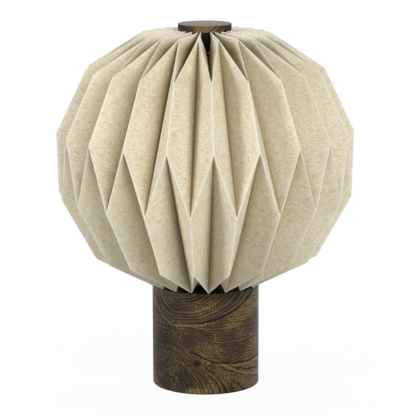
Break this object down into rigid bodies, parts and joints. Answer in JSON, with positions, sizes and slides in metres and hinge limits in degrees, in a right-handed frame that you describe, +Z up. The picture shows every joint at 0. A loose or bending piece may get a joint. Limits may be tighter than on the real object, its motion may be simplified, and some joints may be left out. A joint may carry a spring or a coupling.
{
  "type": "table lamp",
  "caption": "Table lamp with a folded paper globe shade that lifts off a wire carrier, a turned wood base and a screwed wood cap.",
  "frame": {"origin": "centre of the base's underside, where the lamp stands on the table", "axes": "+Z up along the lamp's axis, -Y to the front of the picture's view, +X to its right"},
  "size_m": [0.275, 0.2753, 0.3395],
  "materials": {
    "turned_wood": "dark stained turned wood, satin oil",
    "cap_wood": "dark stained turned wood, satin oil",
    "linen_paper": "natural linen-laminated paper, matt, sharply folded",
    "ballast_iron": "raw casting, black",
    "zinc_steel": "zinc plated",
    "carrier_steel": "bright drawn wire",
    "black_plastic": "moulded black thermoplastic",
    "black_nylon": "moulded black nylon",
    "white_ceramic": "unglazed steatite",
    "contact_brass": "stamped brass",
    "felt": "pressed felt",
    "fibre": "vulcanised fibre",
    "frosted_glass": "frosted",
    "bulb_plastic": "white moulding",
    "bulb_metal": "rolled thread shell",
    "bulb_black": "black glass insulator"
  },
  "bodies": {
    "base": {"base_body": "turned_wood", "ballast_disc": "ballast_iron", "bottom_cover": "zinc_steel", "felt_pad": "felt", "cover_screws": "zinc_steel", "cord_gland": "black_plastic", "nipple": "zinc_steel", "nipple_nut": "zinc_steel", "nipple_washer": "zinc_steel", "seat_washer": "zinc_steel", "holder_cap": "black_plastic", "holder_insert": "white_ceramic", "terminal_screws": "contact_brass", "holder_body": "black_plastic", "screw_shell": "contact_brass", "centre_contact": "contact_brass", "shade_ring": "black_plastic", "frame_lower_ring": "carrier_steel", "frame_top_ring": "carrier_steel", "frame_leg_1": "carrier_steel", "frame_leg_2": "carrier_steel", "frame_leg_3": "carrier_steel"},
    "slip": {"slip_ring": "black_nylon"},
    "shade": {"shade_panel_1": "linen_paper", "shade_panel_2": "linen_paper", "shade_panel_3": "linen_paper", "collar": "black_plastic", "collar_insert": "contact_brass"},
    "cap_seat": {"cap_washer": "fibre"},
    "cap": {"cap_disc": "cap_wood", "cap_stud": "zinc_steel"},
    "bulb": {"bulb_tip": "bulb_metal", "bulb_insulator": "bulb_black", "bulb_cap": "bulb_metal", "bulb_neck": "bulb_plastic", "bulb_globe": "frosted_glass"}
  },
  "joints": [
    {"name": "shade_turn", "type": "hinge", "parent": "base", "child": "slip", "pos_m": [0, 0, 0.3146], "axis": [0, 0, 1], "continuous": true},
    {"name": "shade_lift", "type": "slide", "parent": "slip", "child": "shade", "axis": [0, 0, 1], "range_m": [0, 0.24]},
    {"name": "cap_rise", "type": "slide", "parent": "shade", "child": "cap_seat", "axis": [0, 0, 1], "range_m": [0, 0.0061]},
    {"name": "cap_turn", "type": "hinge", "parent": "cap_seat", "child": "cap", "pos_m": [0, 0, 0.333], "axis": [0, 0, 1], "range_deg": [0, 2160]},
    {"name": "bulb_turn", "type": "hinge", "parent": "base", "child": "bulb", "pos_m": [0, 0, 0.1299], "axis": [0, 0, 1], "range_deg": [0, 1080]}
  ],
  "couplings": [
    {"joint": "cap_rise", "follows": "cap_turn", "m_per_rad": 0.00015915}
  ]
}
